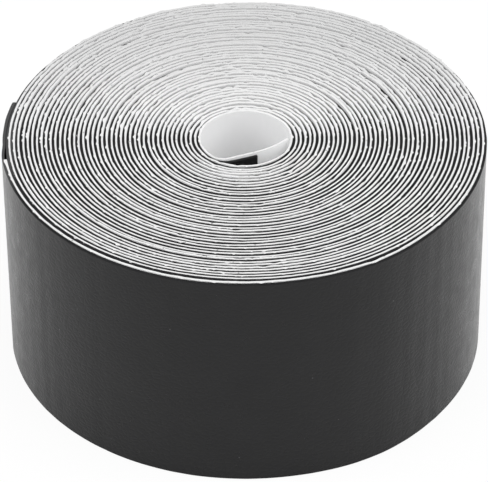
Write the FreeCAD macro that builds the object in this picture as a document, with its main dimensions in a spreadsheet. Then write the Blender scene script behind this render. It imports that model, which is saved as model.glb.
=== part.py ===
import FreeCAD, Part
import Sketcher
import math
import os
from FreeCAD import Vector

# Grip tape roll for racket handles, standing on its end face.
# Two strips make the roll: a black grip tape, and a white release liner that covers the
# tape's tacky inner face. Both are wound together, clockwise from the inside out, with no
# core. Each strip is one unbroken band, and its two free ends are pieces of their own:
# the outer end lifts off the roll, and the inner end is a flap across the bore.
# Up is +Z. The origin is the middle of the roll's box, on the face it stands on.

os.makedirs("parts", exist_ok=True)
doc = FreeCAD.newDocument("grip_tape_roll")

# Driving dimensions: millimetres, degrees and turns

SIZES = (
    ("tape_width", 25.0, "width of the grip tape, which is the height of the roll"),
    ("grip_thickness", 0.98, "thickness of the black tape"),
    ("liner_thickness", 0.81, "thickness of the white liner"),
    ("wrap_clearance", 0.05, "space between one wound layer and the next"),
    ("liner_lip", 0.3, "how far the liner stands above the tape's top edge"),
    ("start_radius", 4.4, "bore radius where the winding starts"),
    ("turns", 10.149, "turns from the inner flap to the outer end"),
    ("start_azimuth", -141.0, "direction of the winding's start, seen from the roll's centre"),
    ("outer_end_angle", 50.0, "arc of the roll that the lifting outer end covers"),
    ("bare_end_angle", 24.0, "last arc of the tape, which has no liner"),
    ("end_gap", 0.05, "space between a strip and its hinged end"),
    ("flap_bend_radius", 2.0, "inner radius of the flap's bend at the bore wall"),
    ("flap_bend_angle", 75.0, "angle that the flap bends away from the wall"),
    ("flap_tip_clearance", 0.25, "space between the flap's tip and the far bore wall"),
    ("liner_overhang", 3.4, "how far the liner reaches past the tape on the flap"),
)

sheet = doc.addObject("Spreadsheet::Sheet", "sizes")
for row, (alias, value, meaning) in enumerate(SIZES, start=1):
    sheet.set("A%d" % row, alias)
    sheet.set("B%d" % row, str(value))
    sheet.set("C%d" % row, meaning)
    sheet.setAlias("B%d" % row, alias)
doc.recompute()


def size(alias):
    """Read one driving dimension from the sheet."""
    return float(sheet.get(alias))


QUARTER_TURN = 90.0
HALF_TURN = 180.0
FULL_TURN = 360.0
TINY = 1e-6

# The pitch is the two strips and the clearance outside each of them.
pitch = size("grip_thickness") + size("liner_thickness") + 2 * size("wrap_clearance")
winding_end = size("turns") * FULL_TURN
hinge_turned = winding_end - size("outer_end_angle")
liner_end = winding_end - size("bare_end_angle")

# Radial distances from the liner's inner face, at any place on the winding
LINER_MIDDLE = size("liner_thickness") / 2
GRIP_INNER = size("liner_thickness") + size("wrap_clearance")
GRIP_MIDDLE = GRIP_INNER + size("grip_thickness") / 2
GRIP_OUTER = GRIP_INNER + size("grip_thickness")


def direction(azimuth):
    """Unit vector in the plan, at an azimuth in degrees."""
    return Vector(math.cos(math.radians(azimuth)), math.sin(math.radians(azimuth)), 0)


# The spiral: half turns about two centres, a half pitch apart

def arc_centre(half_turn):
    """Centre of one half turn; even ones lie away from the start and odd ones towards it."""
    side = 1 if half_turn % 2 else -1
    return direction(size("start_azimuth")) * (side * pitch / 4)


def arc_radius(half_turn, offset):
    """Radius of one half turn, at a radial distance from the liner's inner face."""
    return size("start_radius") + offset + pitch / 4 + half_turn * pitch / 2


def point_on_half_turn(half_turn, offset, turned):
    """Point that lies a number of degrees clockwise from the start of the winding."""
    azimuth = size("start_azimuth") - turned
    return arc_centre(half_turn) + direction(azimuth) * arc_radius(half_turn, offset)


def winding_point(offset, turned):
    """Point of the spiral at any place on the winding."""
    return point_on_half_turn(math.floor(turned / HALF_TURN), offset, turned)


def winding_edges(offset, first, last):
    """Tangent arcs of the spiral between two places on the winding."""
    edges = []
    start = first
    while start < last - TINY:
        half_turn = math.floor(start / HALF_TURN + TINY)
        stop = min(last, (half_turn + 1) * HALF_TURN)
        places = (start, (start + stop) / 2, stop)
        points = [point_on_half_turn(half_turn, offset, turned) for turned in places]
        edges.append(Part.Arc(*points).toShape())
        start = stop
    return edges


def gap_angle(turned):
    """Arc that the gap between a strip and its hinged end takes up."""
    return math.degrees(size("end_gap") / winding_point(GRIP_OUTER, turned).Length)


def closing_edge(offset, first, last, drop):
    """Arc that leaves the spiral without a kink and comes a given drop nearer to the centre."""
    start = winding_point(offset, first)
    tip = winding_point(offset - drop, last)
    inward = (arc_centre(math.floor(first / HALF_TURN)) - start).normalize()
    chord = tip - start
    radius = chord.dot(chord) / (2 * chord.dot(inward))
    centre = start + inward * radius
    middle = centre + ((start - centre) + (tip - centre)).normalize() * radius
    return Part.Arc(start, middle, tip).toShape()


# The inner flap: a bend away from the bore wall and a straight run across the bore

start_outward = direction(size("start_azimuth"))
flap_heading = size("start_azimuth") + size("flap_bend_angle") + QUARTER_TURN
gap_step = direction(size("start_azimuth") + QUARTER_TURN) * size("end_gap")
bend_centre = start_outward * (size("start_radius") - size("flap_bend_radius")) + gap_step


def bend_point(offset, bent):
    """Point on the flap's bend after a number of degrees of it."""
    reach = size("flap_bend_radius") + offset
    return bend_centre + direction(size("start_azimuth") + bent) * reach


def liner_flap_run():
    """Straight run that stops the liner's front corner short of the far bore wall."""
    corner_start = bend_point(size("liner_thickness"), size("flap_bend_angle")) - arc_centre(1)
    along = direction(flap_heading)
    wall = arc_radius(1, 0) - size("flap_tip_clearance")
    middle = -corner_start.dot(along)
    return middle + math.sqrt(middle**2 - corner_start.dot(corner_start) + wall**2)


def flap_edges(offset, run):
    """Route of one strip of the flap: the bend and then the straight run."""
    half_bend = size("flap_bend_angle") / 2
    bend = [bend_point(offset, bent) for bent in (0, half_bend, 2 * half_bend)]
    tip = bend[2] + direction(flap_heading) * run
    return [Part.Arc(*bend).toShape(), Part.makeLine(bend[2], tip)]


# The roll's box is centred on the origin

def rim_point(azimuth):
    """Outermost point of the winding in one direction."""
    turned = (size("start_azimuth") - azimuth) % FULL_TURN
    whole_turns = math.floor((winding_end - turned) / FULL_TURN)
    return winding_point(GRIP_OUTER, turned + whole_turns * FULL_TURN)


box_middle = Vector(
    (rim_point(0).x + rim_point(HALF_TURN).x) / 2,
    (rim_point(QUARTER_TURN).y + rim_point(-QUARTER_TURN).y) / 2,
    0,
)
roll_placement = FreeCAD.Placement(-box_middle, FreeCAD.Rotation())


def strip_section(name, thickness, height, middle, azimuth):
    """Sketch of a strip's cross-section, upright at the start of its route."""
    sketch = doc.addObject("Sketcher::SketchObject", name + "_section")
    turn_up = FreeCAD.Rotation(Vector(1, 0, 0), QUARTER_TURN)
    turn_out = FreeCAD.Rotation(Vector(0, 0, 1), azimuth)
    sketch.Placement = FreeCAD.Placement(middle, turn_out * turn_up)
    corners = (Vector(-1, 0, 0), Vector(1, 0, 0), Vector(1, 2, 0), Vector(-1, 2, 0))
    for index in range(4):
        line = Part.LineSegment(corners[index], corners[(index + 1) % 4])
        sketch.addGeometry(line, False)
    for index in range(4):
        sketch.addConstraint(Sketcher.Constraint("Coincident", index, 2, (index + 1) % 4, 1))
    sketch.addConstraint(Sketcher.Constraint("Horizontal", 0))
    sketch.addConstraint(Sketcher.Constraint("Horizontal", 2))
    sketch.addConstraint(Sketcher.Constraint("Vertical", 1))
    sketch.addConstraint(Sketcher.Constraint("Vertical", 3))
    sketch.addConstraint(Sketcher.Constraint("Symmetric", 0, 1, 0, 2, -1, 1))
    across = sketch.addConstraint(Sketcher.Constraint("DistanceX", 0, 1, 0, 2, 2.0))
    up = sketch.addConstraint(Sketcher.Constraint("DistanceY", 1, 1, 1, 2, 2.0))
    sketch.setExpression("Constraints[%d]" % across, thickness)
    sketch.setExpression("Constraints[%d]" % up, height)
    return sketch


def strip(name, thickness, height, edges, azimuth):
    """One piece of strip: its upright section swept along its route in the plan."""
    route = doc.addObject("Part::Feature", name + "_route")
    route.Shape = Part.Wire(edges)
    start = edges[0].Vertexes[0].Point
    section = strip_section(name, thickness, height, start, azimuth)
    piece = doc.addObject("Part::Sweep", name)
    piece.Label = name
    piece.Sections = [section]
    piece.Spine = (route, ["Edge%d" % (index + 1) for index in range(len(edges))])
    piece.Solid = True
    piece.Frenet = False
    piece.Placement = roll_placement
    return piece


GRIP = ("sizes.grip_thickness", "sizes.tape_width")
LINER = ("sizes.liner_thickness", "sizes.tape_width + sizes.liner_lip")


def wound_strip(name, section, middle, first, last):
    """Strip wound on the spiral between two places on the winding."""
    edges = winding_edges(middle, first, last)
    return strip(name, section[0], section[1], edges, size("start_azimuth") - first)


def grip_outer_end(name):
    """Tape's outer end: past the liner's end it comes down on the turn below."""
    edges = winding_edges(GRIP_MIDDLE, tail_start, liner_end)
    edges.append(closing_edge(GRIP_MIDDLE, liner_end, winding_end, GRIP_INNER))
    return strip(name, GRIP[0], GRIP[1], edges, size("start_azimuth") - tail_start)


def flap_strip(name, section, middle, run):
    """Strip of the inner flap, with a straight run of a given length."""
    edges = flap_edges(middle, run)
    return strip(name, section[0], section[1], edges, size("start_azimuth"))


tail_start = hinge_turned + gap_angle(hinge_turned)
grip_flap_run = liner_flap_run() - size("liner_overhang")

pieces = [
    wound_strip("grip_tape", GRIP, GRIP_MIDDLE, 0, hinge_turned),
    wound_strip("release_liner", LINER, LINER_MIDDLE, 0, hinge_turned),
    grip_outer_end("grip_outer_end"),
    wound_strip("liner_outer_end", LINER, LINER_MIDDLE, tail_start, liner_end),
    flap_strip("grip_inner_end", GRIP, GRIP_MIDDLE, grip_flap_run),
    flap_strip("liner_inner_end", LINER, LINER_MIDDLE, liner_flap_run()),
]
doc.recompute()

# Every object has to be sound before anything is written

for item in doc.Objects:
    if "Invalid" in item.State or "Error" in item.State:
        raise RuntimeError("%s did not recompute: %s" % (item.Label, item.State))
    if item.isDerivedFrom("Sketcher::SketchObject") and not item.FullyConstrained:
        raise RuntimeError("%s is not fully constrained" % item.Label)
for piece in pieces:
    if piece.Shape.isNull() or not piece.Shape.isValid() or piece.Shape.Volume <= 0:
        raise RuntimeError("%s has no sound solid" % piece.Label)
    if abs(piece.Shape.BoundBox.ZMin) > TINY:
        raise RuntimeError("%s does not stand on the ground" % piece.Label)


# The least gap of each wound strip to itself, measured on points of its middle line

SAMPLE_ANGLE = 4


def least_self_gap(middle, thickness):
    """Smallest distance between neighbouring turns, less the strip's thickness."""
    places = range(0, int(hinge_turned) + 1, SAMPLE_ANGLE)
    points = [winding_point(middle, turned) for turned in places]
    half = int(HALF_TURN / SAMPLE_ANGLE)
    full = int(FULL_TURN / SAMPLE_ANGLE)
    least = math.inf
    for index, point in enumerate(points):
        for other in points[index + half:index + full + half]:
            least = min(least, (other - point).Length)
    return least - thickness


print("pitch %.3f mm, %.3f turns" % (pitch, size("turns")))
print("least gap of grip_tape to itself: %.3f mm"
      % least_self_gap(GRIP_MIDDLE, size("grip_thickness")))
print("least gap of release_liner to itself: %.3f mm"
      % least_self_gap(LINER_MIDDLE, size("liner_thickness")))

outer_hinge = winding_point(GRIP_OUTER, hinge_turned) - box_middle
inner_hinge = winding_point(0, 0) - box_middle
print("outer end hinge at %.3f, %.3f mm" % (outer_hinge.x, outer_hinge.y))
print("inner flap hinge at %.3f, %.3f mm" % (inner_hinge.x, inner_hinge.y))
print("middle of the winding at %.3f, %.3f mm" % (-box_middle.x, -box_middle.y))

for piece in pieces:
    piece.Shape.exportStep("parts/%s.step" % piece.Label)
    print("%s: %.1f mm3" % (piece.Label, piece.Shape.Volume))
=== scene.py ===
import math

import bpy
import numpy as np
from mathutils import Matrix, Vector


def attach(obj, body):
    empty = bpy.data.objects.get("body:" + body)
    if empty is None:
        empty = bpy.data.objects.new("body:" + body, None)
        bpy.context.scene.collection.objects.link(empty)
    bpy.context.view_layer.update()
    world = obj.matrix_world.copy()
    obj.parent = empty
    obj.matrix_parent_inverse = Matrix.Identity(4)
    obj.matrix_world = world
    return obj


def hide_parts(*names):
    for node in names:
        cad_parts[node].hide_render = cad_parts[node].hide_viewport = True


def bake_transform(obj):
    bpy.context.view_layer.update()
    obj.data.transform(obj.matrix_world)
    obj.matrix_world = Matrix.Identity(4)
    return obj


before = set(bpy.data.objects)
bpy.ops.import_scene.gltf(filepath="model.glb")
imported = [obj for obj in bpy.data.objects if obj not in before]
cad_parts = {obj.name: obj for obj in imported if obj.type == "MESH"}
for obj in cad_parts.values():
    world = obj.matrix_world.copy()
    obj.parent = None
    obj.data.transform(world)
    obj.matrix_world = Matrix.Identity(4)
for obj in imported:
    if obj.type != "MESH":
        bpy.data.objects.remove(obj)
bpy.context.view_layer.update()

# Grip tape roll: a black tape and a white liner, wound together clockwise from the inside
# out. The strips are worked out in millimetres and degrees, and turn into metres where a
# mesh is made. Hinges, materials, lamps and the camera are in metres.

MM = 0.001
RANDOM_SEED = 41

# Sizes of the real roll. The outer end is tape and liner, and the last of it bare tape.
TAPE_WIDTH = 25.0
PITCH = 0.4767
TURNS = 42.1684
RIM_RADIUS = 24.97
GRIP_THICKNESS = 0.274
LINER_THICKNESS = 0.185
LAYER_GAP = 0.009
START_AZIMUTH = -134.0
ROLL_CENTRE = np.array([0.12, 0.12])
BORE_SHIFT = np.array([-0.02, -0.60])
OUTER_END_ANGLE = 50.0
BARE_END_ANGLE = 24.0
STATION_STEP = 0.2

# The inner flap: it leaves the bore wall a little past the start of the winding, bends to
# its heading and curls towards its tip. Its tape ends short of the liner's tip.
FLAP_LEAVES_AT = 0.5
FLAP_BEND_RADIUS = 1.40
FLAP_HEADING = 21.0
FLAP_CURL = 24.0
FLAP_CURL_FROM = 3.8
FLAP_LENGTH = 8.5
FLAP_STEP = 0.18
LINER_OVERHANG = 3.90

# Section of a strip: its bevelled corners, and how far below its top the outer face stops
# being plain and starts to fray
GRIP_BEVEL = 0.030
LINER_BEVEL = 0.018
FLAT_TO = 0.16
FRAYS_FROM = 0.10

# What each side of a section is: lower edge, outer face, upper edge and inner face
FACE, CUT_EDGE, INNER_FACE = 0, 1, 2
SIDE_KINDS = [CUT_EDGE] * 3 + [FACE] * 3 + [CUT_EDGE] * 3 + [INNER_FACE]
SHARP_ANGLE = 40

# Every noise below is a row of layers, each with its height and the spacing of its knots.
# Spots and crumbs have a count, a greatest height and a width. Each one has a random share
# of both, and is worked out to a few of its widths from its middle.
BUMP_SIZES = (0.3, 1.0)
BUMP_WIDTHS = (0.6, 1.5)
BUMP_REACH = 3

# Uneven winding: drift in every turn, less of it in the last one
DRIFT_LAYERS = ((0.030, 17.0), (0.012, 3.0))
DRIFT_FADES_BEFORE_END = 180
DRIFT_FADES_OVER = 240
DRIFT_LEFT = 0.12

# The kink in the outer turn at the front right, its trace a turn below, and a sharper one
# in the liner
KINK_BEFORE_END = 136.6
KINK_HEIGHT = 0.20
KINK_WIDTH = 14.0
KINK_BELOW_HEIGHT = 0.05
KINK_BELOW_WIDTH = 7.0
LINER_KINK_PAST = 1.2
LINER_KINK_HEIGHT = 0.09
LINER_KINK_WIDTH = 1.3

# The front: the outer turn lies a little further in, and the turns inside it are dented
# more, so that a gap stays open behind it
FRONT_PAST_KINK = 55
FRONT_WIDTH = 45.0
FRONT_SINKS = 0.18
DENT_DEPTH = 0.42
DENT_FADES_OVER_TURNS = 5

# The bare end comes down on the turn below, further where that turn is dented
CLOSES_AFTER_LINER = 1.0
CLOSES_OVER = 6.0
CLOSING = 0.19
CLOSING_AT_FRONT = 0.20
BARE_END_THICKER = 0.42

# How far the liner's edge stands above the tape's width: more at the back and in front of
# the bore, and little at the front of the outer turn and on the flap
LINER_LIP = 0.088
BACK_LIP = 0.080
BORE_LIP = 0.17
BORE_LIP_ENDS_AT = 2500
BORE_LIP_FADES_OVER = 1300
LIP_WANDERS = ((0.10, 42.0), (0.045, 9.0))
LIP_WAVERS = ((0.020, 1.4), (0.020, 0.55))
LOW_SPOTS = (700, 0.16, 0.30)
LOWEST_LIP = -0.03
HIGHEST_LIP = 0.29
FRONT_LIP = 0.03
FLAP_LIP = 0.10
FLAP_FADES_OVER = 60

# How far the tape's upper edge stays below its width, and slants to its outer face
GRIP_DROPS = ((0.012, 6.0), (0.008, 0.9))
FLAP_TAPE_DROP = 0.17
FLAP_DROPS_OVER = 2.5
FRONT_TAPE_DROP = 0.09
GRIP_SLANT = 0.08
GRIP_SLANT_LAYERS = ((0.025, 11.0),)
FLAP_SLANT_LOST = 0.7
GRIP_THICKNESS_LAYERS = ((0.012, 1.1),)

# The liner's frayed upper edge, wider at the back, and its thick torn end
BEAD_LAYERS = ((0.016, 0.75), (0.016, 0.4))
SMALL_CRUMBS = (1300, 0.17, 0.13)
LARGE_CRUMBS = (90, 0.21, 0.25)
BACK_SPREAD = 0.12
FRONT_SPREAD = 0.05
TORN_END_THICKER = 0.10
TORN_END_WIDTH = 1.1

# Lower edges of tape and liner above the ground
GRIP_FOOT = 0.01
GRIP_FOOT_LAYERS = ((0.01, 5.0),)
LINER_FOOT = 0.10
LINER_FOOT_LAYERS = ((0.05, 13.0),)

winding_end = TURNS * 360
start_radius = RIM_RADIUS - PITCH * (TURNS + 1) + LAYER_GAP
random = np.random.default_rng(RANDOM_SEED)


def smooth_noise(places, spacing):
    """Smooth random curve between -1 and 1, with one random knot each spacing."""
    knots = random.uniform(-1, 1, int(places.max() / spacing) + 3)
    whole = np.floor(places / spacing).astype(int)
    part = places / spacing - whole
    part = part * part * (3 - 2 * part)
    return knots[whole] * (1 - part) + knots[whole + 1] * part


def smooth_step(value):
    """0 below 0, 1 above 1, and smooth between."""
    value = np.clip(value, 0, 1)
    return value * value * (3 - 2 * value)


def bump(position, middle, width):
    """Smooth hump of height 1 round one place."""
    return np.exp(-(((position - middle) / width) ** 2))


def heading_vectors(angles):
    """Unit vectors in the plan for an array of angles."""
    radians = np.radians(angles)
    return np.stack([np.cos(radians), np.sin(radians)], axis=1)


# The route is the line of the liner's inner face, from the flap's tip to the outer end

def winding_route():
    """Turned angles and points of the spiral, from where the flap leaves it."""
    growth = PITCH / (2 * math.pi)
    first, last = math.radians(FLAP_LEAVES_AT), math.radians(winding_end)
    length_first = start_radius * first + growth * first**2 / 2
    length_last = start_radius * last + growth * last**2 / 2
    count = int((length_last - length_first) / STATION_STEP)
    lengths = np.linspace(length_first, length_last, count)
    angle = (np.sqrt(start_radius**2 + 2 * growth * lengths) - start_radius) / growth
    radius = start_radius + growth * angle
    angle = np.degrees(angle)
    centre = ROLL_CENTRE + np.outer(1 - angle / winding_end, BORE_SHIFT)
    points = centre + heading_vectors(START_AZIMUTH - angle) * radius[:, None]
    return angle, points


def flap_route(wall_point):
    """Points of the flap from its tip back to the bore wall, without the wall's own point."""
    wall_heading = START_AZIMUTH - FLAP_LEAVES_AT + 90
    runs = np.arange(1, int(FLAP_LENGTH / FLAP_STEP) + 1) * FLAP_STEP
    bend = np.degrees(runs / FLAP_BEND_RADIUS)
    curl = FLAP_CURL * smooth_step((runs - FLAP_CURL_FROM) / (FLAP_LENGTH - FLAP_CURL_FROM))
    headings = np.minimum(wall_heading + bend, FLAP_HEADING) + curl
    points = wall_point + np.cumsum(heading_vectors(headings) * FLAP_STEP, axis=0)
    return points[::-1]


# Turned is the angle along the winding, and on the flap the length to the wall, below 0
angle_wound, wound = winding_route()
flap = flap_route(wound[0])
root_station = len(flap)
route = np.concatenate([flap, wound])
steps = np.linalg.norm(np.diff(route, axis=0), axis=1)
along = np.concatenate([[0], np.cumsum(steps)])
turned = np.concatenate([along[:root_station] - along[root_station], angle_wound])
forward = np.gradient(route, axis=0)
forward /= np.linalg.norm(forward, axis=1)[:, None]
outward = np.stack([-forward[:, 1], forward[:, 0]], axis=1)

# Stations where a piece starts or ends
liner_end = winding_end - BARE_END_ANGLE
hinge_station = int(np.searchsorted(turned, winding_end - OUTER_END_ANGLE))
liner_last = int(np.searchsorted(turned, liner_end))
last_station = len(route) - 1
grip_first = int(np.searchsorted(along, LINER_OVERHANG))


def layered_noise(layers):
    """Sum of smooth noises along the route."""
    return sum(height * smooth_noise(along, spacing) for height, spacing in layers)


def layered_wear(layers):
    """Sum of smooth noises along the route, each lifted so that it is never below 0."""
    return sum(height * (1 + smooth_noise(along, spacing)) for height, spacing in layers)


def sparse_bumps(count, tallest, width):
    """Curve along the route that is 0 but for a number of small humps at random places."""
    heights = np.zeros(len(along))
    middles = random.uniform(along[0], along[-1], count)
    sizes = random.uniform(*BUMP_SIZES, count)
    spreads = width * random.uniform(*BUMP_WIDTHS, count)
    for middle, size, spread in zip(middles, sizes, spreads):
        reach = BUMP_REACH * spread
        first, last = np.searchsorted(along, (middle - reach, middle + reach))
        hump = size * bump(along[first:last], middle, spread)
        heights[first:last] = np.maximum(heights[first:last], hump)
    return tallest * heights


# Shares from 0 to 1: the front of the outer turn, the dent in the turns inside it there,
# the bare end, and the flap with the first of the winding
kink_turned = winding_end - KINK_BEFORE_END
front_turned = kink_turned + FRONT_PAST_KINK
front_share = bump(turned, front_turned, FRONT_WIDTH)
turns_in = (front_turned - turned) / 360
whole_turns_in = np.round(turns_in)
dent_share = bump((turns_in - whole_turns_in) * 360, 0, FRONT_WIDTH)
dent_share *= np.exp(-(whole_turns_in - 1) / DENT_FADES_OVER_TURNS)
dent_share[whole_turns_in < 1] = 0
bare_share = smooth_step((turned - liner_end) / BARE_END_ANGLE)
flap_share = np.clip((FLAP_FADES_OVER - turned) / FLAP_FADES_OVER, 0, 1)

# How far to the back of the roll a place is: 1 at the back, -1 at the front
to_back = np.sin(np.radians(START_AZIMUTH - np.maximum(turned, 0)))

# Uneven winding, as a shift of both strips off the route, which the flap has from where it
# leaves. The liner's sharper kink and the closing of the bare tape come on top.
from_end = winding_end - turned
drift_share = np.clip((from_end - DRIFT_FADES_BEFORE_END) / DRIFT_FADES_OVER, DRIFT_LEFT, 1)
drift = layered_noise(DRIFT_LAYERS)
kink = KINK_HEIGHT * bump(turned, kink_turned, KINK_WIDTH)
kink += KINK_BELOW_HEIGHT * bump(turned, kink_turned - 360, KINK_BELOW_WIDTH)
shift = drift * drift_share + kink - FRONT_SINKS * front_share - DENT_DEPTH * dent_share
shift[:root_station] = shift[root_station]
liner_kink = LINER_KINK_HEIGHT * bump(turned, kink_turned + LINER_KINK_PAST, LINER_KINK_WIDTH)
closing = CLOSING + CLOSING_AT_FRONT * front_share
closing *= smooth_step((turned - liner_end - CLOSES_AFTER_LINER) / CLOSES_OVER)

# Upper edge of the liner
lip_wander = layered_noise(LIP_WANDERS)
lip_waver = layered_noise(LIP_WAVERS)
lip = LINER_LIP + BACK_LIP * to_back + lip_wander + lip_waver
lip -= sparse_bumps(*LOW_SPOTS)
bore_share = smooth_step((BORE_LIP_ENDS_AT - turned) / BORE_LIP_FADES_OVER)
lip += BORE_LIP * bore_share * np.maximum(-to_back, 0) ** 2
lip = np.clip(lip, LOWEST_LIP, HIGHEST_LIP)
lip += (FRONT_LIP + lip_waver - lip) * front_share
lip = lip * (1 - flap_share) + FLAP_LIP * flap_share

# Upper edge of the tape
grip_drop = layered_wear(GRIP_DROPS)
flap_drop = FLAP_TAPE_DROP * smooth_step(-turned / FLAP_DROPS_OVER)
grip_drop += flap_drop + FRONT_TAPE_DROP * front_share
grip_slant = GRIP_SLANT + layered_noise(GRIP_SLANT_LAYERS)
grip_slant *= 1 - FLAP_SLANT_LOST * flap_share

# Frayed edge of the liner
crumbs = np.maximum(sparse_bumps(*SMALL_CRUMBS), sparse_bumps(*LARGE_CRUMBS))
beads = layered_noise(BEAD_LAYERS)
spread = BACK_SPREAD * np.maximum(to_back, 0) ** 0.5
liner_fray = (beads + crumbs + spread) * (1 - flap_share) + FRONT_SPREAD * front_share

# Both strips' faces, as offsets from the route, and their edges' heights
grip_width = GRIP_THICKNESS + layered_noise(GRIP_THICKNESS_LAYERS)
grip_width *= 1 + BARE_END_THICKER * bare_share
liner_width = LINER_THICKNESS + TORN_END_THICKER * bump(along, along[liner_last], TORN_END_WIDTH)
grip_near = LINER_THICKNESS + LAYER_GAP + shift - closing
liner_near = shift + liner_kink
no_fray = np.zeros(len(route))
no_slant = np.zeros(len(route))
grip_strip = {
    "near": grip_near,
    "far": grip_near + grip_width,
    "low": GRIP_FOOT + layered_wear(GRIP_FOOT_LAYERS),
    "high": TAPE_WIDTH - grip_drop,
    "slant": grip_slant,
    "fray": no_fray,
}
liner_strip = {
    "near": liner_near,
    "far": liner_near + liner_width,
    "low": LINER_FOOT + layered_noise(LINER_FOOT_LAYERS),
    "high": TAPE_WIDTH + lip,
    "slant": no_slant,
    "fray": liner_fray,
}


def strip_piece(name, strip, bevel, first, last):
    """Closed mesh of a strip between two stations of the route."""
    rows = slice(first, last + 1)
    near, far, low, high, slant, fray = [
        strip[part][rows] for part in ("near", "far", "low", "high", "slant", "fray")]
    ring = [
        (near, low + bevel),
        (near + bevel, low),
        (far - bevel, low),
        (far, low + bevel),
        (far, high - FLAT_TO - slant),
        (far, high - FRAYS_FROM - slant),
        (far + fray, high - bevel - slant),
        (far + fray - bevel, high - slant),
        (near + bevel, high),
        (near, high - bevel),
    ]
    sides = len(ring)
    count = last + 1 - first
    vertices = np.empty((count, sides, 3))
    for index, (offset, height) in enumerate(ring):
        vertices[:, index, :2] = route[rows] + outward[rows] * offset[:, None]
        vertices[:, index, 2] = height
    vertices = vertices.reshape(-1, 3) * MM
    station, side = np.meshgrid(np.arange(count - 1), np.arange(sides), indexing="ij")
    here = station * sides + side
    beside = station * sides + (side + 1) % sides
    quads = np.stack([here, beside, beside + sides, here + sides], axis=-1).reshape(-1, 4)
    faces = [tuple(quad) for quad in quads.tolist()]
    faces.append(tuple(reversed(range(sides))))
    faces.append(tuple(range((count - 1) * sides, count * sides)))
    mesh = bpy.data.meshes.new(name)
    mesh.from_pydata(vertices.tolist(), [], faces)
    mesh.update()
    kinds = SIDE_KINDS * (count - 1) + [CUT_EDGE, CUT_EDGE]
    mesh.polygons.foreach_set("material_index", kinds)
    mesh.shade_smooth()
    mesh.set_sharp_from_angle(angle=math.radians(SHARP_ANGLE))
    piece = bpy.data.objects.new(name, mesh)
    bpy.context.collection.objects.link(piece)
    return piece


def grip_piece(name, first, last):
    return strip_piece(name, grip_strip, GRIP_BEVEL, first, last)


def liner_piece(name, first, last):
    return strip_piece(name, liner_strip, LINER_BEVEL, first, last)


grip_roll = grip_piece("tape_winding", root_station, hinge_station)
liner_roll = liner_piece("liner_winding", root_station, hinge_station)
grip_tail = grip_piece("tape_outer_end", hinge_station, last_station)
liner_tail = liner_piece("liner_outer_end_strip", hinge_station, liner_last)
grip_flap = grip_piece("tape_inner_end", grip_first, root_station)
liner_flap = liner_piece("liner_inner_end_strip", 0, root_station)

# Materials: the range that a noise texture mostly fills, and what the plain ones share
NOISE_LOW = 0.3
NOISE_HIGH = 0.7
PLAIN_ROUGHNESS_SCALE = 600.0
PLAIN_ROUGHNESS_SPREAD = 0.06
PLAIN_BUMP_STRENGTH = 0.3

# Outer face of the tape
LEATHER_DARK = (0.0045, 0.0045, 0.0049, 1)
LEATHER_PALE = (0.008, 0.008, 0.0086, 1)
LINT_GREY = (0.42, 0.42, 0.44, 1)
LINT_STRENGTH = 0.22
CREASE_SCALE = 1450.0
CREASE_WIDTH = 0.22
CREASE_STRETCH = (1.0, 1.0, 1.3)
GRAIN_SHARE = 0.6

# The tape's edge, lit grey by painted light at the far left, and the liner's edge, greyer to the
# back by painted shade
LIGHT_END_FROM_X = -0.0228
LIGHT_END_TO_X = -0.0238
PAINTED_LIGHT_GREY = (0.060, 0.060, 0.061, 1)
BACK_SHADE_FROM_Y = 0.003
BACK_SHADE_TO_Y = 0.018
BACK_SHADE_SHARE = 0.54
BACK_SHADE_GREY = (0.42, 0.42, 0.42, 1)
DUST_GREY = (0.12, 0.12, 0.12, 1)
DUST_STRENGTH = 0.7

# A speck is full inside this share of its size, and is kept or not over this narrow step
SPECK_CORE = 0.6
SPECK_STEP = 0.01


def add_node(tree, kind, inputs=None, **settings):
    """New shader node, with its own settings and the values or links of its inputs."""
    made = tree.nodes.new(kind)
    for name, value in settings.items():
        setattr(made, name, value)
    for name, value in (inputs or {}).items():
        if isinstance(value, bpy.types.NodeSocket):
            tree.links.new(value, made.inputs[name])
        else:
            made.inputs[name].default_value = value
    return made


def new_material(name):
    """New node material, with its tree and its shader."""
    material = bpy.data.materials.new(name)
    material.use_nodes = True
    tree = material.node_tree
    return material, tree, tree.nodes["Principled BSDF"]


def place_on_object(tree):
    """Place on the object in metres."""
    return add_node(tree, "ShaderNodeTexCoord").outputs["Object"]


def coordinate(tree, place, axis):
    return add_node(tree, "ShaderNodeSeparateXYZ", {"Vector": place}).outputs[axis]


def noise(tree, place, scale, detail=2.0):
    inputs = {"Vector": place, "Scale": scale, "Detail": detail}
    return add_node(tree, "ShaderNodeTexNoise", inputs).outputs["Fac"]


def ramp(tree, value, low, high, from_value=0.0, to_value=1.0):
    """Value taken from the range low to high to another range, and held at its ends."""
    inputs = {
        "Value": value,
        "From Min": low,
        "From Max": high,
        "To Min": from_value,
        "To Max": to_value,
    }
    return add_node(tree, "ShaderNodeMapRange", inputs).outputs["Result"]


def mix_colour(tree, share, first, second):
    """Colour that is the first one at share 0 and the second one at share 1."""
    # A Mix node has sockets for each kind of value under the same names, so these are numbers
    factor, first_colour, second_colour, mixed_colour = 0, 6, 7, 2
    inputs = {factor: share, first_colour: first, second_colour: second}
    return add_node(tree, "ShaderNodeMix", inputs, data_type="RGBA").outputs[mixed_colour]


def arithmetic(tree, operation, first, second):
    inputs = {0: first, 1: second}
    return add_node(tree, "ShaderNodeMath", inputs, operation=operation).outputs["Value"]


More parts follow.
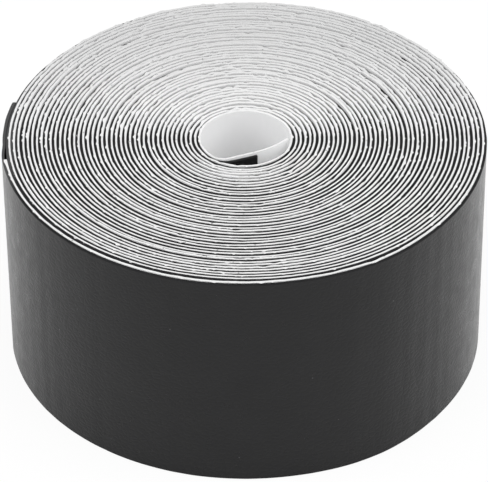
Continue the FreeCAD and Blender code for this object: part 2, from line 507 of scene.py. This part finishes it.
def specks(tree, place, scale, size, kept):
    """1 in small random round spots, of which only some are kept."""
    cells = add_node(tree, "ShaderNodeTexVoronoi", {"Vector": place, "Scale": scale})
    spot = ramp(tree, cells.outputs["Distance"], size, size * SPECK_CORE)
    cell_colour = {"Color": cells.outputs["Color"]}
    chosen = add_node(tree, "ShaderNodeSeparateColor", cell_colour).outputs["Red"]
    chosen = ramp(tree, chosen, 1 - kept, 1 - kept + SPECK_STEP)
    return arithmetic(tree, "MULTIPLY", spot, chosen)


def set_roughness(tree, shader, place, scale, low, high):
    """Uneven roughness from low to high."""
    clouds = noise(tree, place, scale)
    roughness = ramp(tree, clouds, NOISE_LOW, NOISE_HIGH, low, high)
    tree.links.new(roughness, shader.inputs["Roughness"])


def set_bump(tree, shader, height, strength, distance):
    """Bumps from a height between 0 and 1, which is worth so many metres."""
    inputs = {"Height": height, "Strength": strength, "Distance": distance}
    bumps = add_node(tree, "ShaderNodeBump", inputs)
    tree.links.new(bumps.outputs["Normal"], shader.inputs["Normal"])


def leather_material():
    """Outer face of the black tape, with fine leather creases and a little pale lint."""
    material, tree, shader = new_material("tape_face")
    place = place_on_object(tree)
    clouds = noise(tree, place, scale=260.0, detail=3.0)
    colour = mix_colour(tree, clouds, LEATHER_DARK, LEATHER_PALE)
    lint = specks(tree, place, scale=1500.0, size=0.10, kept=0.05)
    lint = arithmetic(tree, "MULTIPLY", lint, LINT_STRENGTH)
    colour = mix_colour(tree, lint, colour, LINT_GREY)
    tree.links.new(colour, shader.inputs["Base Color"])
    set_roughness(tree, shader, place, scale=700.0, low=0.26, high=0.36)
    shader.inputs["Specular IOR Level"].default_value = 0.24
    shader.inputs["Sheen Weight"].default_value = 0.21
    shader.inputs["Sheen Roughness"].default_value = 0.30
    stretch = {"Vector": place, "Scale": CREASE_STRETCH}
    stretched = add_node(tree, "ShaderNodeMapping", stretch).outputs["Vector"]
    cells = {"Vector": stretched, "Scale": CREASE_SCALE}
    creases = add_node(tree, "ShaderNodeTexVoronoi", cells, feature="DISTANCE_TO_EDGE")
    crease = ramp(tree, creases.outputs["Distance"], 0.0, CREASE_WIDTH)
    grain = noise(tree, place, scale=2600.0, detail=3.0)
    grain = arithmetic(tree, "MULTIPLY", grain, GRAIN_SHARE)
    height = arithmetic(tree, "ADD", crease, grain)
    set_bump(tree, shader, height, strength=0.25, distance=0.00004)
    return material


def plain_material(name, dark, pale, cloud_scale, roughness, specular, bump_scale, bump_height,
                   recolour=None):
    """Material with soft clouding between two greys and a fine uneven surface."""
    material, tree, shader = new_material(name)
    place = place_on_object(tree)
    clouds = noise(tree, place, cloud_scale, detail=4.0)
    colour = mix_colour(tree, clouds, (*dark, 1), (*pale, 1))
    if recolour:
        colour = recolour(tree, place, colour)
    tree.links.new(colour, shader.inputs["Base Color"])
    low = roughness - PLAIN_ROUGHNESS_SPREAD
    high = roughness + PLAIN_ROUGHNESS_SPREAD
    set_roughness(tree, shader, place, PLAIN_ROUGHNESS_SCALE, low, high)
    shader.inputs["Specular IOR Level"].default_value = specular
    height = noise(tree, place, bump_scale, detail=3.0)
    set_bump(tree, shader, height, PLAIN_BUMP_STRENGTH, bump_height)
    return material


def bare_end_painted_light(tree, place, colour):
    """Tape edge with painted light: a lighter grey round its bare end, where it is not shaded.
    """
    # Painted light: the edge turns from its own near black to a lighter grey round the bare end
    lit_share = ramp(tree, coordinate(tree, place, "X"), LIGHT_END_FROM_X, LIGHT_END_TO_X)
    return mix_colour(tree, lit_share, colour, PAINTED_LIGHT_GREY)


def back_shade_and_dust(tree, place, colour):
    """Liner edge with painted shade, greyer towards the back, and a little dark dust from the
    tape.
    """
    # Painted shade: the edge turns greyer towards the back; the specks after it are dust
    to_back = coordinate(tree, place, "Y")
    back_shade = ramp(tree, to_back, BACK_SHADE_FROM_Y, BACK_SHADE_TO_Y, 0.0, BACK_SHADE_SHARE)
    colour = mix_colour(tree, back_shade, colour, BACK_SHADE_GREY)
    dust = specks(tree, place, scale=1900.0, size=0.22, kept=0.16)
    dust = arithmetic(tree, "MULTIPLY", dust, DUST_STRENGTH)
    return mix_colour(tree, dust, colour, DUST_GREY)


tape_face = leather_material()
tape_edge = plain_material(
    "tape_cut_edge", dark=(0.006, 0.006, 0.0064), pale=(0.015, 0.015, 0.016), cloud_scale=900.0,
    roughness=0.75, specular=0.18, bump_scale=2200.0, bump_height=0.00005, recolour=bare_end_painted_light)
tape_back = plain_material(
    "tape_tacky_back", dark=(0.010, 0.010, 0.011), pale=(0.017, 0.017, 0.018), cloud_scale=300.0,
    roughness=0.34, specular=0.5, bump_scale=1500.0, bump_height=0.00003)
liner_face = plain_material(
    "liner_face", dark=(0.93, 0.931, 0.934), pale=(0.96, 0.96, 0.963), cloud_scale=350.0,
    roughness=0.46, specular=0.4, bump_scale=1400.0, bump_height=0.00002)
liner_edge = plain_material(
    "liner_cut_edge", dark=(0.65, 0.65, 0.65), pale=(0.79, 0.79, 0.79), cloud_scale=1100.0,
    roughness=0.55, specular=0.4, bump_scale=2600.0, bump_height=0.00003, recolour=back_shade_and_dust)

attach(grip_roll, "roll")
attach(liner_roll, "roll")
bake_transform(grip_tail)
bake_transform(liner_tail)
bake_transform(grip_flap)
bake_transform(liner_flap)
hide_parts("grip_tape")
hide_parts("release_liner")
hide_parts("grip_outer_end")
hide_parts("liner_outer_end")
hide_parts("grip_inner_end")
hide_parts("liner_inner_end")

for tape in (grip_roll, grip_tail, grip_flap):
    for material in (tape_face, tape_edge, tape_back):
        tape.data.materials.append(material)
for strip in (liner_roll, liner_tail, liner_flap):
    for material in (liner_face, liner_edge, liner_face):
        strip.data.materials.append(material)

# Pale floor, which shows white and keeps the roll's soft shadow
FLOOR_HALF = 3.0
FLOOR_HEIGHT = -0.00002
FLOOR_WHITE_SHARE = 0.90


def floor_material():
    """Pale grey that the camera sees mostly as white."""
    material, tree, shader = new_material("pale_floor")
    shader.inputs["Base Color"].default_value = (0.90, 0.90, 0.90, 1)
    shader.inputs["Roughness"].default_value = 0.8
    seen = tree.nodes.new("ShaderNodeLightPath").outputs["Is Camera Ray"]
    share = arithmetic(tree, "MULTIPLY", seen, FLOOR_WHITE_SHARE)
    glow = add_node(tree, "ShaderNodeEmission", {"Color": (1, 1, 1, 1), "Strength": 1.0})
    mixed = {0: share, 1: shader.outputs["BSDF"], 2: glow.outputs["Emission"]}
    surface = add_node(tree, "ShaderNodeMixShader", mixed).outputs["Shader"]
    tree.links.new(surface, tree.nodes["Material Output"].inputs["Surface"])
    return material


floor_mesh = bpy.data.meshes.new("floor")
signs = ((-1, -1), (1, -1), (1, 1), (-1, 1))
corners = [(x * FLOOR_HALF, y * FLOOR_HALF, FLOOR_HEIGHT) for x, y in signs]
floor_mesh.from_pydata(corners, [], [(0, 1, 2, 3)])
floor_mesh.materials.append(floor_material())
floor = bpy.data.objects.new("floor", floor_mesh)
bpy.context.collection.objects.link(floor)

# Soft light: a white room, which lights at less than the white it shows, and three lamps
ROOM_LIGHT = 0.66
LAMP_SIZE = 0.5
LAMP_TARGET = (0.0, 0.0, 0.012)
LAMPS = (
    ("left_lamp", (-0.52, -0.22, 0.46), 1.40),
    ("right_lamp", (0.54, -0.16, 0.44), 1.50),
    ("top_lamp", (0.04, -0.12, 0.76), 2.15),
)


def soft_room():
    """World that shows as white and lights the object with ROOM_LIGHT."""
    world = bpy.data.worlds.new("soft_room")
    world.use_nodes = True
    tree = world.node_tree
    background = tree.nodes["Background"]
    background.inputs["Color"].default_value = (1, 1, 1, 1)
    rays = tree.nodes.new("ShaderNodeLightPath").outputs
    seen = arithmetic(tree, "MAXIMUM", rays["Is Camera Ray"], rays["Is Transmission Ray"])
    strength = ramp(tree, seen, 0.0, 1.0, ROOM_LIGHT, 1.0)
    tree.links.new(strength, background.inputs["Strength"])
    return world


def soft_lamp(name, place, power):
    """Square soft lamp at a place in metres, turned to the roll."""
    light = bpy.data.lights.new(name, "AREA")
    light.shape = "SQUARE"
    light.size = LAMP_SIZE
    light.energy = power
    lamp = bpy.data.objects.new(name, light)
    bpy.context.collection.objects.link(lamp)
    lamp.location = place
    direction = Vector(LAMP_TARGET) - Vector(place)
    lamp.rotation_euler = direction.to_track_quat("-Z", "Y").to_euler()


bpy.context.scene.world = soft_room()
for name, place, power in LAMPS:
    soft_lamp(name, place, power)

# Camera, from the photograph: its place, its axes and its principal point
CAMERA_PLACE = (0.00012, -0.28575, 0.230322)
CAMERA_RIGHT = (0.99997, -0.00437, -0.00573)
CAMERA_UP = (0.00721, 0.60606, 0.79539)
CAMERA_BACKWARD = (0.0, -0.79541, 0.60607)
FOCAL_PIXELS = 3441.8
IMAGE_SIZE = (488, 482)
PRINCIPAL_POINT = (245.46, 232.47)
SENSOR_WIDTH = 36.0
CLIP_START = 0.01
camera_data = bpy.data.cameras.new("camera")
camera_data.sensor_fit = "HORIZONTAL"
camera_data.sensor_width = SENSOR_WIDTH
camera_data.lens = FOCAL_PIXELS * SENSOR_WIDTH / IMAGE_SIZE[0]
camera_data.shift_x = (IMAGE_SIZE[0] / 2 - PRINCIPAL_POINT[0]) / IMAGE_SIZE[0]
camera_data.shift_y = (PRINCIPAL_POINT[1] - IMAGE_SIZE[1] / 2) / IMAGE_SIZE[0]
camera_data.clip_start = CLIP_START
camera = bpy.data.objects.new("camera", camera_data)
bpy.context.collection.objects.link(camera)
axes = Matrix((CAMERA_RIGHT, CAMERA_UP, CAMERA_BACKWARD)).transposed()
camera.matrix_world = Matrix.Translation(CAMERA_PLACE) @ axes.to_4x4()
bpy.context.scene.camera = camera
bpy.context.scene.view_settings.view_transform = "Standard"
